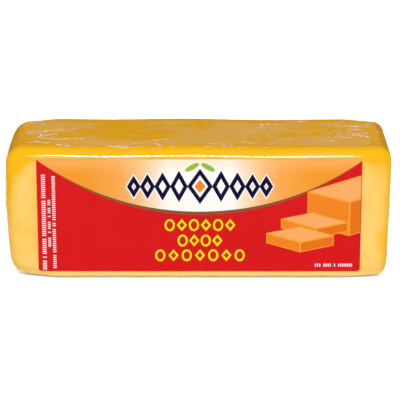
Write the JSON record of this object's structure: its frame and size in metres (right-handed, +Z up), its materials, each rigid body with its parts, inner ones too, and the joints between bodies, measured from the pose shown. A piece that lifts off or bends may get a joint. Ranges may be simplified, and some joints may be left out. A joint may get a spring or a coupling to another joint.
{
  "type": "vacuum-packed cheddar block",
  "caption": "Long loaf of yellow-orange cheddar sealed in tight clear film, with a printed red, orange and white label over its front; stands flat on its base.",
  "frame": {"origin": "middle of the block's base, on the surface that it stands on", "axes": "+X along the loaf's length, to the right as one reads the label; -Y towards the label's side; +Z up"},
  "size_m": [0.2967, 0.1025, 0.1024],
  "materials": {
    "cheddar_in_film": "yellow-orange cheddar under clear glossy shrink film",
    "label_print": "printed label, satin, red with an orange and white panel"
  },
  "bodies": {
    "root": {"cheddar_block": "cheddar_in_film", "front_label": "label_print"}
  },
  "joints": []
}
